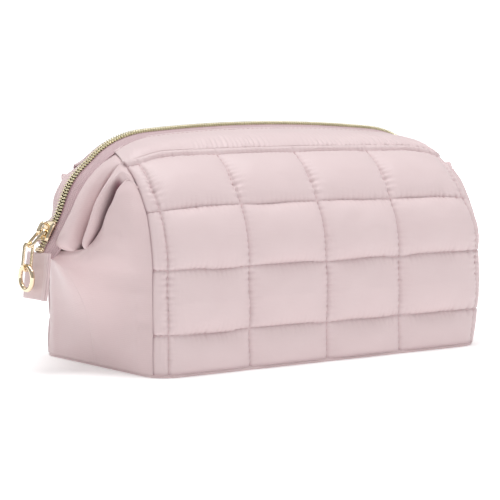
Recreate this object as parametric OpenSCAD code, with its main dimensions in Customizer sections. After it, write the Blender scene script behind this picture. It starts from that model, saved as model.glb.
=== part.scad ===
// Quilted wide-mouth makeup bag: stiffened base, leaning quilted walls, two spring-wire
// frames along an arched zip, pleated ends and a slider with a hanging pull.
// Millimetres, +Z up, origin at the middle of the resting face. The zip runs along X.

/* [Body] */
// Length of the base, end seam to end seam
bag_l = 213; // [200:1:225]
// Width of the base, front to back
bag_w = 118; // [112:1:124]
// Height of the zip line at its crown
bag_h = 125; // [122:1:128]
// Corner radius of the base in plan
corner_r = 13; // [12:1:22]
// Height at which the walls start to lean inwards
fold_z = 52; // [48:1:56]
// Thickness of the quilted fabric with its wadding
quilt_t = 4; // [3:0.5:5]
// Thickness of the plain end fabric
gusset_t = 2; // [1.5:0.5:2.5]
// Thickness of the lining
lining_t = 0.6; // [0.4:0.1:0.8]
// Thickness of the stiffening board in the base
board_t = 1.4; // [1:0.2:1.6]

/* [Wall] */
// Radius of the wall's lean above the fold line
lean_r = 75; // [70:1:80]
// Angle of the wall's lean, from the fold line to the band seam
lean_a = 53; // [50:1:55]
// Width of the plain band above the quilting
band_w = 20.5; // [18:0.5:21]
// Slope of the band from level
band_a = 25; // [20:1:28]
// Thickness of the band
band_t = 3; // [2:0.5:3.5]
// Share of the zip's end drop that the band seam follows
seam_drop = 0.25; // [0:0.05:0.5]

/* [Zip] */
// Radius of the zip's crown
crown_r = 900; // [800:50:1200]
// Half length of the crown along X
crown_x = 76; // [70:1:80]
// Radius of the zip's shoulders
shoulder_r = 55; // [50:1:60]
// Slope of the zip's straight legs from level
leg_a = 58.5; // [57:0.5:60]
// Height of the zip's two ends
zip_end_z = 59; // [58:0.5:60]
// Length of each leg that stays with the zip's end when the mouth opens
still_l = 26; // [25:0.5:27]
// Gap along the leg between the still stretch and the opening stretch
leg_gap = 2.6; // [2.4:0.1:3]
// Thickness of the coil
coil_t = 2.2; // [2:0.1:2.4]
// Half width of the closed coil
coil_w = 3; // [2.8:0.1:3.2]
// Half of the slot between the two coils
coil_slot = 0.7; // [0.6:0.1:0.8]
// Thickness of the zip tape
tape_t = 0.7; // [0.5:0.1:0.8]
// Distance of the tape's outer edge from the zip's middle
tape_edge = 9; // [8:0.5:10]
// Radius of the frame wire
wire_r = 1.2; // [1:0.1:1.4]

/* [Slider and pull] */
// Length of the slider
slider_l = 11; // [10:0.5:12]
// Half width of the slider
slider_w = 4.4; // [4.2:0.1:4.8]
// Distance of the slider's middle from the zip's end along the leg
slider_s = 13.4; // [12.5:0.1:14]
// Radius of the wire of the pull's links
link_r = 0.8; // [0.7:0.1:0.9]
// Length of the connector between its bars
connector_l = 12; // [11:0.2:13]
// Length of the long loop between its bars
loop_l = 14; // [12:0.5:15]
// Middle radius of the round ring
ring_r = 6; // [5.5:0.5:6.5]
// Radius of the round ring's bar
ring_bar_r = 1.2; // [1:0.1:1.3]
// Width of the fabric tabs at the zip's ends
tab_w = 21; // [18:1:24]
// Length of the fabric tabs
tab_l = 21; // [18:1:24]

/* [Hidden] */
$fn = 48;
base_t = 2;
float_gap = 0.2;
hinge_gap = 0.3;
half_l = bag_l / 2;
half_w = bag_w / 2;
board_z = base_t + float_gap;
base_lining_z = board_z + board_t + float_gap;
liner_z = base_lining_z + lining_t + float_gap;
gusset_half = half_w - corner_r * 0.5;
liner_half = gusset_half - 3;

// Zip arch: crown arc, shoulder arc and straight leg, mirrored about X = 0
crown_a = asin(crown_x / crown_r);
crown_cz = bag_h - crown_r;
shoulder_cx = (crown_r - shoulder_r) * sin(crown_a);
shoulder_cz = crown_cz + (crown_r - shoulder_r) * cos(crown_a);
leg_x = shoulder_cx + shoulder_r * sin(leg_a);
leg_z = shoulder_cz + shoulder_r * cos(leg_a);
leg_l = (leg_z - zip_end_z) / sin(leg_a);
function leg_point(s, d) = [
    leg_x + (leg_l - s) * cos(leg_a) + d * sin(leg_a),
    leg_z - (leg_l - s) * sin(leg_a) + d * cos(leg_a)
];
function arch_z(x) =
    abs(x) <= crown_x ? crown_cz + sqrt(pow(crown_r, 2) - pow(x, 2)) :
    abs(x) <= leg_x ? shoulder_cz + sqrt(pow(shoulder_r, 2) - pow(abs(x) - shoulder_cx, 2)) :
    leg_z - (abs(x) - leg_x) * tan(leg_a);

// Wall: an arc from the fold line to the band seam, then the straight band
lean_cy = lean_r - half_w;
wall_x = half_l - 0.6;
band_x = half_l - 3.5;
function corner_in(x) = corner_r - sqrt(pow(corner_r, 2) - pow(max(0, abs(x) - (half_l - corner_r)), 2));
function zip_drop(x) = bag_h - arch_z(x);
function lean_point(x, a, inset) = [
    x,
    lean_cy - (lean_r - inset) * cos(a) + corner_in(x) * (1 - 0.4 * a / lean_a),
    fold_z + (lean_r - inset) * sin(a) - seam_drop * zip_drop(x) * a / lean_a
];
function band_point(x, w, inset) = [
    x,
    lean_cy - lean_r * cos(lean_a) + w * cos(band_a) + inset * sin(band_a)
        + corner_in(x) * 0.6 * (1 - w / band_w),
    fold_z + lean_r * sin(lean_a) + w * sin(band_a) - inset * cos(band_a)
        - zip_drop(x) * (seam_drop + (1 - seam_drop) * w / band_w)
];
crown_steps = 5;
shoulder_steps = 12;
columns = 28;
wall_rows = 8;
band_rows = 3;
function spread(j) = sin(90 * (2 * j / columns - 1));

// Pull: the connector lies along the leg, the loop leans a little, the ring hangs straight
plate_d = coil_t / 2 + 1.6;
plate_t = 1.2;
lip_d = 1.1;
lip_t = 1;
fused = 0.1;
post = [0.8, 2];
pin_d = plate_d + 0.3 + link_r + 0.05;
link_gap = 0.3;
loop_a = 7;
connector_w = 2.3;
loop_w = 2.4;
bail_r = 3;
bail_bar_r = 0.7;
pull_pin = leg_point(slider_s, pin_d);
connector_a = leg_a - 14;
connector_end = [pull_pin.x + connector_l * cos(connector_a), pull_pin.y - connector_l * sin(connector_a)];
loop_hang = 2 * link_r + link_gap;
loop_top = [connector_end.x - loop_hang * sin(loop_a), connector_end.y + loop_hang * cos(loop_a)];
loop_end = [loop_top.x + loop_l * sin(loop_a), loop_top.y - loop_l * cos(loop_a)];
ring_z = loop_end.y + link_r + ring_bar_r + link_gap - ring_r;

// Zip ends: distances along the leg of the tape's end, the stop and the first coil turn
tape_s = 2;
stop_s = 2.4;
stop_l = 1.6;
stop_t = coil_t + 0.8;
coil_s = 4.2;
tab_s = 1.6;
tab_t = 1.6;
tab_lean = 4;
web_s = 3;
web_over = 8;
web_deep = 17;
web_w = 12;
web_t = 1;

// Frame sections across the arch: distance outwards, then forwards
tape_in = coil_w + 0.1;
tape_out = [-3.55, tape_edge - 1.4];
tape_half = [tape_t / 2, 0.2];
wire_at = [-8.2, 5.6];
wire_short = 3;
casing_low = [-12, 3.4];
casing_high = [-4.4, 7.8];
casing_wall = 0.7;

// Flaps: shares of the wall's lean where they start and end, and their inner edge
flap_rows = 6;
flap_cols = 5;
flap_from = 0.02;
flap_to = 0.85;
flap_in_y = 26.5;
flap_flare = 4;

// End pleats: three guide lines along the leg, each from its top to its bottom
pleat_rows = 8;
pleat_cols = 16;
pleat_t = 1.4;
roll_depth = 4;
roll_out = [0.8, 0.5];
pleat_top = [[114.5, 10.5, 96], [121, 24, 101], [114.5, 37, 91]];
pleat_low = [[133.5, 10.5, 66], [133, 24, 62], [117, 27, 62]];

fabric = "#dfc8ca";
end_fabric = "#d8c2c4";
tape_pink = "#cdb0b4";
lining_pink = "#e6d6d4";
coil_gold = "#d8cb9b";
metal_gold = "#e2bd86";

// ---- shared shapes ----

module rounded_plan(inset) {
    r = corner_r - inset;
    square([bag_l - 2 * inset, bag_w - 2 * inset - 2 * r], center = true);
    square([bag_l - 2 * inset - 2 * r, bag_w - 2 * inset], center = true);
    for (sx = [-1, 1])
        for (sy = [-1, 1])
            translate([sx * (half_l - corner_r), sy * (half_w - corner_r)]) circle(r);
}

module wall_ring(outer, inner) {
    difference() {
        rounded_plan(outer);
        rounded_plan(inner);
    }
}

// Closed skin between two grids of points that share their rows and columns
module skin(outer, inner) {
    rows = len(outer);
    cols = len(outer[0]);
    far = rows * cols;
    points = concat([for (row = outer) each row], [for (row = inner) each row]);
    function quad(a, b, c, d) = [[a, b, c], [a, c, d]];
    faces = concat(
        [for (i = [0 : rows - 2]) for (j = [0 : cols - 2])
            each quad(i * cols + j, (i + 1) * cols + j, (i + 1) * cols + j + 1, i * cols + j + 1)],
        [for (i = [0 : rows - 2]) for (j = [0 : cols - 2])
            each quad(far + i * cols + j, far + i * cols + j + 1,
                      far + (i + 1) * cols + j + 1, far + (i + 1) * cols + j)],
        [for (i = [0 : rows - 2]) each concat(
            quad(i * cols, far + i * cols, far + (i + 1) * cols, (i + 1) * cols),
            quad((i + 1) * cols - 1, (i + 2) * cols - 1,
                 far + (i + 2) * cols - 1, far + (i + 1) * cols - 1))],
        [for (j = [0 : cols - 2]) each concat(
            quad(j, j + 1, far + j + 1, far + j),
            quad((rows - 1) * cols + j, far + (rows - 1) * cols + j,
                 far + (rows - 1) * cols + j + 1, (rows - 1) * cols + j + 1))]
    );
    polyhedron(points, faces);
}

// Closed tube through equal rings of points, with flat ends
module tube(rings) {
    n = len(rings[0]);
    last = (len(rings) - 1) * n;
    points = [for (ring = rings) each ring];
    faces = concat(
        [for (i = [0 : len(rings) - 2]) for (k = [0 : n - 1])
            let (a = i * n + k, b = i * n + (k + 1) % n) each [[a, b, b + n], [a, b + n, a + n]]],
        [[for (k = [n - 1 : -1 : 0]) k]],
        [[for (k = [0 : n - 1]) last + k]]
    );
    polyhedron(points, faces);
}

// Places along the zip's arch from left to right: X, Z and the angle from the crown
function arch_half(side, from_s) = concat(
    [for (i = [1 : crown_steps]) let (a = crown_a * i / crown_steps)
        [side * crown_r * sin(a), crown_cz + crown_r * cos(a), side * a]],
    [for (i = [1 : shoulder_steps]) let (a = crown_a + (leg_a - crown_a) * i / shoulder_steps)
        [side * (shoulder_cx + shoulder_r * sin(a)), shoulder_cz + shoulder_r * cos(a), side * a]],
    [[side * leg_point(from_s, 0).x, leg_point(from_s, 0).y, side * leg_a]]
);
function turned(list) = [for (i = [len(list) - 1 : -1 : 0]) list[i]];
function arch(from_s) = concat(turned(arch_half(-1, from_s)), [[0, bag_h, 0]], arch_half(1, from_s));

// Sweeps a section along the zip's arch: its X is outwards from the arch, its Y forwards
module along_arch(section, from_s)
    tube([for (f = arch(from_s))
        [for (q = section) [f[0] + q[0] * sin(f[2]), -q[1], f[1] + q[0] * cos(f[2])]]]);

// Flat-sided strip along the arch between two distances out from it and two forwards
module arch_strip(low, high, from_s) {
    function line(d) = [for (f = arch(from_s)) [f[0] + d * sin(f[2]), f[1] + d * cos(f[2])]];
    translate([0, -low[1], 0]) rotate([90, 0, 0]) linear_extrude(high[1] - low[1])
        polygon(concat(line(low[0]), turned(line(high[0]))));
}

// Sweeps a flat section along one leg between two distances from the zip's end, on the right
module along_leg(from_s, to_s) {
    start = leg_point(to_s, 0);
    translate([start.x, 0, start.y]) rotate([90, 0, 0]) rotate([0, 0, 90 - leg_a])
        rotate([90, 0, 0]) linear_extrude(to_s - from_s) children();
}

module left() mirror([1, 0, 0]) children();
module back() mirror([0, 1, 0]) children();

// ---- lower body ----

module base_panel() color(fabric)
    linear_extrude(base_t) rounded_plan(0);

module base_board() color("#e9e6df")
    translate([0, 0, board_z]) linear_extrude(board_t) rounded_plan(quilt_t + 1);

module base_lining() color(lining_pink)
    translate([0, 0, base_lining_z]) linear_extrude(lining_t) rounded_plan(quilt_t + 0.4);

module front_lower() color(fabric)
    translate([0, 0, base_t]) linear_extrude(fold_z - hinge_gap - base_t) intersection() {
        wall_ring(0, quilt_t);
        translate([-half_l, -half_w]) square([bag_l, half_w - gusset_half]);
    }

module gusset_lower() color(end_fabric)
    translate([0, 0, base_t]) linear_extrude(fold_z - hinge_gap - base_t) intersection() {
        wall_ring(0, gusset_t);
        translate([half_l - corner_r, -gusset_half + float_gap])
            square([corner_r, 2 * (gusset_half - float_gap)]);
    }

module lining_front() color(lining_pink)
    translate([0, 0, liner_z]) linear_extrude(fold_z - hinge_gap - liner_z) intersection() {
        wall_ring(quilt_t + 0.4, quilt_t + 0.4 + lining_t);
        translate([-half_l, -half_w]) square([bag_l, half_w - liner_half]);
    }

module lining_end() color(lining_pink)
    translate([0, 0, liner_z]) linear_extrude(fold_z - hinge_gap - liner_z) intersection() {
        wall_ring(quilt_t + 0.4, quilt_t + 0.4 + lining_t);
        translate([0, -liner_half + float_gap]) square([half_l, 2 * (liner_half - float_gap)]);
    }

// ---- leaning walls ----

module wall_upper(from_inset, to_inset, reach) {
    start_a = hinge_gap / lean_r * 180 / PI;
    function grid(inset) = [
        for (i = [0 : wall_rows]) [
            for (j = [0 : columns])
                lean_point(reach * spread(j), start_a + (lean_a - start_a) * i / wall_rows, inset)
        ]
    ];
    skin(grid(from_inset), grid(to_inset));
}

module panel_upper() color(fabric) wall_upper(0, quilt_t, wall_x);

module lining_upper() color(lining_pink)
    wall_upper(quilt_t + 0.3, quilt_t + 0.3 + lining_t, wall_x - quilt_t);

module band() {
    start_w = 0.7;
    function grid(inset) = [
        for (i = [0 : band_rows]) [
            for (j = [0 : columns])
                band_point(band_x * spread(j), start_w + (band_w - start_w) * i / band_rows, inset)
        ]
    ];
    color(fabric) skin(grid(0), grid(band_t));
}

// Plain end fabric beside the wall's edge, which turns with the wall: right front corner
module flap() {
    function grid(x0) = [
        for (i = [0 : flap_rows]) [
            for (j = [0 : flap_cols])
                let (a = lean_a * (flap_from + (flap_to - flap_from) * i / flap_rows),
                     edge = lean_point(wall_x, a, quilt_t))
                [x0 + flap_flare * j / flap_cols * i / flap_rows,
                 edge.y - (edge.y + flap_in_y) * j / flap_cols, edge.z]
        ]
    ];
    color(end_fabric) skin(grid(half_l + gusset_t), grid(half_l + 0.2));
}

// ---- zip and frames ----

tape_section = [
    [-tape_t / 2, tape_in], tape_out - tape_half, tape_out + tape_half, [tape_t / 2, tape_in]
];
module coil_half() translate([-coil_t / 2, coil_slot]) square([coil_t, coil_w - coil_slot]);

module flat_tape_half()
    translate([-tape_t / 2, tape_in]) square([tape_t, tape_edge - tape_in]);

wire_section = [for (k = [0 : 9]) wire_at + wire_r * [cos(36 * k), -sin(36 * k)]];

module wire() color("silver") along_arch(wire_section, still_l + leg_gap + wire_short);

// The casing is a strip folded round the wire, with both of its edges sewn to the tape
module casing() color(fabric) difference() {
    arch_strip(casing_low, casing_high, still_l + leg_gap);
    arch_strip(casing_low + [casing_wall, casing_wall], casing_high + [casing_wall, -casing_wall], still_l);
}

module tape() color(tape_pink) along_arch(tape_section, still_l + leg_gap);

module coil() color(coil_gold)
    arch_strip([-coil_t / 2, coil_slot], [coil_t / 2, coil_w], still_l + leg_gap);

module end_tape() color(tape_pink) {
    along_leg(tape_s, still_l) flat_tape_half();
    along_leg(tape_s, still_l) mirror([0, 1]) flat_tape_half();
}

module end_coil() color(coil_gold) {
    along_leg(coil_s, still_l) coil_half();
    along_leg(coil_s, still_l) mirror([0, 1]) coil_half();
}

module stop() color(metal_gold)
    along_leg(stop_s, stop_s + stop_l) square([stop_t, 2 * coil_w], center = true);

module tab() color(end_fabric)
    translate([leg_point(tab_s, 0).x, 0, leg_point(tab_s, 0).y]) rotate([0, -tab_lean, 0])
        translate([-tab_t / 2, -tab_w / 2, -tab_l]) cube([tab_t, tab_w, tab_l]);

// Inner fold of the end fabric, hidden between the pleats
module fold_web() color(end_fabric)
    along_leg(web_s, still_l + web_over) translate([-web_deep, -web_t / 2]) square([web_w, web_t]);

// One end's pleats on one side: two rolls side by side along the leg, right front corner
module pleat() {
    function mix(a, b, t) = a + (b - a) * t;
    function guide(t) = [for (k = [0 : 2]) mix(pleat_top[k], pleat_low[k], t)];
    function bend(g, v) = g[0] * pow(1 - v, 2) + g[1] * 2 * v * (1 - v) + g[2] * pow(v, 2);
    function roll(v) = roll_depth * abs(sin(360 * v));
    function grid(lift) = [
        for (i = [0 : pleat_rows]) [
            for (j = [0 : pleat_cols])
                let (v = j / pleat_cols, p = bend(guide(i / pleat_rows), v), out = roll(v) + lift)
                [p.x + out * roll_out.x, -p.y - out * roll_out.y * v, p.z]
        ]
    ];
    color(end_fabric) skin(grid(0), grid(-pleat_t));
}

// ---- slider and pull ----

// Flat link with round ends and a round bar, hanging down from its upper bar, across Y
module link(length, half_width, bar_r) {
    bend_r = min(half_width, length / 2);
    straight = length - 2 * bend_r;
    for (end = [0, 1]) translate([0, 0, -bend_r - end * straight]) mirror([0, 0, end])
        rotate([90, 0, 90]) rotate_extrude(angle = 180) translate([bend_r, 0]) circle(bar_r, $fn = 24);
    for (side = [-1, 1]) translate([0, side * bend_r, -bend_r - straight])
        cylinder(h = straight, r = bar_r, $fn = 24);
}

module slider_place(d) {
    at = leg_point(slider_s, d);
    left() translate([at.x, 0, at.y]) rotate([0, leg_a - 90, 0]) rotate([0, 0, 180]) children();
}

// The slider's own frame: its Z is up the leg and its X is inwards
module slider_body() color(metal_gold) slider_place(0) {
    for (side = [-1, 1]) {
        translate([side * (plate_d - plate_t / 2), 0, 0])
            cube([plate_t, 2 * slider_w, slider_l], center = true);
        for (edge = [-1, 1])
            translate([side * lip_d, edge * (slider_w - lip_t / 2), 0])
                cube([2 * (plate_d - plate_t - lip_d) + fused, lip_t, slider_l], center = true);
    }
    translate([0, 0, (slider_l - post.y) / 2]) cube([2 * plate_d - plate_t, post.x, post.y], center = true);
}

module slider_bail() color(metal_gold) slider_place(plate_d)
    rotate([0, -90, 0]) rotate([90, 0, 0])
        rotate_extrude(angle = 180) translate([bail_r, 0]) circle(bail_bar_r, $fn = 24);

module pull_connector() color(metal_gold)
    left() translate([pull_pin.x, 0, pull_pin.y]) rotate([0, connector_a - 90, 0])
        link(connector_l, connector_w, link_r);

module pull_loop() color(metal_gold)
    left() translate([loop_top.x, 0, loop_top.y]) rotate([0, -loop_a, 0]) rotate([0, 0, 90])
        link(loop_l, loop_w, link_r);

module pull_ring() color(metal_gold)
    left() translate([loop_end.x, 0, ring_z]) rotate([0, 90, 0])
        rotate_extrude() translate([ring_r, 0]) circle(ring_bar_r, $fn = 24);

// ---- nodes ----

base_panel();
base_board();
base_lining();
front_lower();  // front_panel_lower
back() front_lower();  // back_panel_lower
left() gusset_lower();  // left_gusset
gusset_lower();  // right_gusset
lining_front();  // front_lining_lower
back() lining_front();  // back_lining_lower
left() lining_end();  // left_lining
lining_end();  // right_lining
panel_upper();  // front_panel_upper
band();  // front_band
lining_upper();  // front_lining_upper
left() flap();  // left_front_flap
flap();  // right_front_flap
back() panel_upper();  // back_panel_upper
back() band();  // back_band
back() lining_upper();  // back_lining_upper
back() left() flap();  // left_back_flap
back() flap();  // right_back_flap
left() end_tape();  // left_end_tape
end_tape();  // right_end_tape
left() end_coil();  // left_end_coil
end_coil();  // right_end_coil
left() stop();  // left_stop
stop();  // right_stop
left() tab();  // left_tab
tab();  // right_tab
left() fold_web();  // left_fold_web
fold_web();  // right_fold_web
wire();  // front_wire
casing();  // front_casing
tape();  // front_tape
coil();  // front_coil
left() pleat();  // left_front_pleat
pleat();  // right_front_pleat
back() wire();  // back_wire
back() casing();  // back_casing
back() tape();  // back_tape
back() coil();  // back_coil
back() left() pleat();  // left_back_pleat
back() pleat();  // right_back_pleat
slider_body();
slider_bail();
pull_connector();
pull_loop();
pull_ring();
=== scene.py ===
"""Quilted makeup bag: fabric, zip and pull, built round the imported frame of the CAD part.

Sizes in the classes are in millimetres; meshes are written in metres, in the frame's own axes.
Each corner is shaped once and mirrored to the other three. The whole bag is settled after that:
it swells at its right end and slumps a little at the back left.
"""

from __future__ import annotations

import logging
import math
from collections.abc import Callable, Sequence
from dataclasses import dataclass, field
from enum import Enum

import bpy
import numpy as np
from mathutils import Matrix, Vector

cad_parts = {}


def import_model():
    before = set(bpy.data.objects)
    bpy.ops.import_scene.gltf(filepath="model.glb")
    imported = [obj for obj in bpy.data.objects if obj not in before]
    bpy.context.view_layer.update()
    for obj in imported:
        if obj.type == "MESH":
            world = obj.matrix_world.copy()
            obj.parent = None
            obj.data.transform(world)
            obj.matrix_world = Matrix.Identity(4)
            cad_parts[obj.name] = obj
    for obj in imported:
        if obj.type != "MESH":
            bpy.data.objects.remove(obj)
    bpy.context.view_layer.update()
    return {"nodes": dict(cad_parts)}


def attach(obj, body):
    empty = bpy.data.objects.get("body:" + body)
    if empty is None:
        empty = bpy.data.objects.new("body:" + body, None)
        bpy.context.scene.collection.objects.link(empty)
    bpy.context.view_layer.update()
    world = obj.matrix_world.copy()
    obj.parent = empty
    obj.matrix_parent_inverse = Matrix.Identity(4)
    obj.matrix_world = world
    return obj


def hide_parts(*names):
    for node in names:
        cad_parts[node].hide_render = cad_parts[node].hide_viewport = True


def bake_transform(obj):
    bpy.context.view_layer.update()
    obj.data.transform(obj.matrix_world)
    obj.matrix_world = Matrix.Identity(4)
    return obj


LOG = logging.getLogger("makeup_bag")
MM = 0.001
Points = np.ndarray
Shape = Callable[[Points, Points], Points]
Depth = Callable[[Points, Points], Points]


class Side(Enum):
    """Front or back of the bag, as the sign of Y that it lies on."""

    FRONT = -1
    BACK = 1


class End(Enum):
    """Left or right end of the bag, as the sign of X that it lies on."""

    LEFT = -1
    RIGHT = 1


# ---------------------------------------------------------------- numbers and meshes


def smooth_step(t: Points | float) -> Points:
    """Rises from 0 to 1 between t = 0 and t = 1, level at both ends."""
    t = np.clip(t, 0.0, 1.0)
    return t * t * (3.0 - 2.0 * t)


class SoftNoise:
    """Smooth repeatable noise from a small table of seeded values."""

    CELLS = 64

    def __init__(self, seed: int) -> None:
        """Fills the table from the seed."""
        self.table = np.random.default_rng(seed).uniform(-1.0, 1.0, (self.CELLS, self.CELLS))

    def __call__(self, u: Points, v: Points) -> Points:
        """Noise between -1 and 1.

        Args:
            u: first coordinate, in cells.
            v: second coordinate, in cells.

        Returns:
            One value for each pair.
        """
        iu, iv = np.floor(u).astype(int), np.floor(v).astype(int)
        fu, fv = smooth_step(u - iu), smooth_step(v - iv)
        n = self.CELLS
        a = self.table[iu % n, iv % n] * (1 - fu) + self.table[(iu + 1) % n, iv % n] * fu
        b = self.table[iu % n, (iv + 1) % n] * (1 - fu) + self.table[(iu + 1) % n, (iv + 1) % n] * fu
        return a * (1 - fv) + b * fv


def catmull(values: Points, t: Points) -> Points:
    """Smooth curve through evenly spaced values.

    Args:
        values: control values, one row for each station.
        t: places between 0, the first station, and 1, the last.

    Returns:
        One interpolated row for each place.
    """
    last = len(values) - 1
    at = np.clip(t, 0.0, 1.0) * last
    i = np.minimum(at.astype(int), last - 1)
    f = (at - i)[..., None]
    p0, p1 = values[np.maximum(i - 1, 0)], values[i]
    p2, p3 = values[i + 1], values[np.minimum(i + 2, last)]
    return 0.5 * (2 * p1 + (p2 - p0) * f + (2 * p0 - 5 * p1 + 4 * p2 - p3) * f**2
                  + (3 * p1 - p0 - 3 * p2 + p3) * f**3)


def net_surface(net: Points, u: Points, v: Points) -> Points:
    """Smooth surface through a net of control points.

    Args:
        net: rows of control points; v runs down the rows and u along them.
        u: places along the rows, 0 to 1.
        v: places down the rows, 0 to 1.

    Returns:
        One point for each pair.
    """
    rows = np.stack([catmull(row, u) for row in net])
    last = len(net) - 1
    at = np.clip(v, 0.0, 1.0) * last
    i = np.minimum(at.astype(int), last - 1)
    f = (at - i)[..., None]
    k = np.arange(len(u))
    p0, p1 = rows[np.maximum(i - 1, 0), k], rows[i, k]
    p2, p3 = rows[i + 1, k], rows[np.minimum(i + 2, last), k]
    return 0.5 * (2 * p1 + (p2 - p0) * f + (2 * p0 - 5 * p1 + 4 * p2 - p3) * f**2
                  + (3 * p1 - p0 - 3 * p2 + p3) * f**3)


def deselect() -> None:
    """Leaves nothing selected, so that an operator acts on the new piece alone."""
    for o in bpy.context.selected_objects:
        o.select_set(False)


def take_new(name: str) -> bpy.types.Object:
    """Names the object that the last primitive made."""
    piece = bpy.context.active_object
    piece.name = name
    piece.data.name = name
    return piece


def set_points(piece: bpy.types.Object, points: Points) -> None:
    """Moves every vertex of a mesh to a point given in millimetres."""
    piece.data.vertices.foreach_set("co", (np.asarray(points) * MM).astype(np.float32).ravel())
    piece.data.update()


def get_points(piece: bpy.types.Object) -> Points:
    """The vertices of a mesh, in millimetres."""
    co = np.zeros(len(piece.data.vertices) * 3, np.float32)
    piece.data.vertices.foreach_get("co", co)
    return co.reshape(-1, 3).astype(float) / MM


def apply_modifiers(piece: bpy.types.Object) -> None:
    """Applies every modifier of a piece."""
    deselect()
    piece.select_set(True)
    bpy.context.view_layer.objects.active = piece
    for m in list(piece.modifiers):
        bpy.ops.object.modifier_apply(modifier=m.name)


def edit(piece: bpy.types.Object, *steps: Callable[[], object]) -> None:
    """Runs operators on all of a piece in edit mode."""
    deselect()
    piece.select_set(True)
    bpy.context.view_layer.objects.active = piece
    bpy.ops.object.mode_set(mode="EDIT")
    bpy.ops.mesh.select_all(action="SELECT")
    for step in steps:
        step()
    bpy.ops.object.mode_set(mode="OBJECT")


def smooth(piece: bpy.types.Object) -> None:
    """Shades a piece smooth."""
    piece.data.polygons.foreach_set("use_smooth", [True] * len(piece.data.polygons))


def cloth(name: str, columns: int, rows: int, shape: Shape, size: tuple[float, float],
          thickness: float = 0.0, flip: bool = False, fold: Depth | None = None) -> bpy.types.Object:
    """A grid bent into a piece of fabric.

    Args:
        name: the piece's name.
        columns: faces along u.
        rows: faces along v.
        shape: gives a point in millimetres for each pair of u and v between 0 and 1.
        size: the fabric's size along u and v, for its UV map, in millimetres.
        thickness: how thick it is made, inwards, or 0 for the grid alone.
        flip: turns its faces to the other side.
        fold: how far each place lies in a fold, from 0 to 1, kept as an attribute that paints shade into the
            fabric's colour there.

    Returns:
        The piece.
    """
    deselect()
    bpy.ops.mesh.primitive_grid_add(x_subdivisions=columns, y_subdivisions=rows, size=2.0)
    piece = take_new(name)
    flat = get_points(piece) * MM
    u, v = (flat[:, 0] + 1) / 2, (flat[:, 1] + 1) / 2
    set_points(piece, shape(u, v))
    uv = np.zeros(len(piece.data.loops) * 2, np.float32)
    layer = piece.data.uv_layers.active.data
    layer.foreach_get("uv", uv)
    uv = uv.reshape(-1, 2) * np.array(size, np.float32) * MM
    layer.foreach_set("uv", uv.ravel())
    # painted shade: the fold attribute darkens the material's colour in creases and recesses
    if fold is not None:
        depth = piece.data.attributes.new("fold", "FLOAT", "POINT")
        depth.data.foreach_set("value", np.clip(fold(u, v), 0, 1).astype(np.float32))
    if flip:
        piece.data.flip_normals()
    if thickness:
        m = piece.modifiers.new("thickness", "SOLIDIFY")
        m.thickness = thickness * MM
        m.offset = -1.0
        apply_modifiers(piece)
    smooth(piece)
    return piece


def copies(name: str, pattern: bpy.types.Object, frames: Points) -> bpy.types.Object:
    """One mesh that repeats a pattern at many places.

    Args:
        name: the new piece's name.
        pattern: the piece to repeat, in millimetres about its own origin; it is removed.
        frames: for each place, its origin and the three directions of its axes, in millimetres.

    Returns:
        The piece.
    """
    points = get_points(pattern)
    faces = [tuple(p.vertices) for p in pattern.data.polygons]
    placed = frames[:, None, 0] + np.einsum("pk,fkc->fpc", points, frames[:, 1:4])
    shift = len(points)
    mesh = bpy.data.meshes.new(name)
    all_faces = [tuple(i + k * shift for i in f) for k in range(len(frames)) for f in faces]
    mesh.from_pydata((placed.reshape(-1, 3) * MM).tolist(), [], all_faces)
    piece = bpy.data.objects.new(name, mesh)
    bpy.context.scene.collection.objects.link(piece)
    bpy.data.objects.remove(pattern)
    smooth(piece)
    return piece


def rod(name: str, points: Points, radius: float, sides: int = 2, closed: bool = False,
        taper: Sequence[float] | None = None) -> bpy.types.Object:
    """A round bar along a smooth path, made from a curve and then turned into a mesh.

    Args:
        name: the piece's name.
        points: the path, in millimetres.
        radius: the bar's radius.
        sides: the curve's bevel resolution.
        closed: joins the last point to the first.
        taper: the share of the radius at each point.

    Returns:
        The piece.
    """
    curve = bpy.data.curves.new(name, "CURVE")
    curve.dimensions = "3D"
    curve.bevel_depth = radius * MM
    curve.bevel_resolution = sides
    curve.use_fill_caps = not closed
    spline = curve.splines.new("POLY")
    spline.points.add(len(points) - 1)
    for i, p in enumerate(points):
        spline.points[i].co = (*(np.asarray(p) * MM), 1.0)
        spline.points[i].radius = taper[i] if taper is not None else 1.0
    spline.use_cyclic_u = closed
    piece = bpy.data.objects.new(name, curve)
    bpy.context.scene.collection.objects.link(piece)
    deselect()
    piece.select_set(True)
    bpy.context.view_layer.objects.active = piece
    bpy.ops.object.convert(target="MESH")
    piece = bpy.context.active_object
    smooth(piece)
    return piece


def join(name: str, pieces: Sequence[bpy.types.Object]) -> bpy.types.Object:
    """Joins meshes into one piece of that name."""
    deselect()
    for p in pieces:
        p.select_set(True)
    bpy.context.view_layer.objects.active = pieces[0]
    bpy.ops.object.join()
    return take_new(name)


# ---------------------------------------------------------------- finishes


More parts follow.
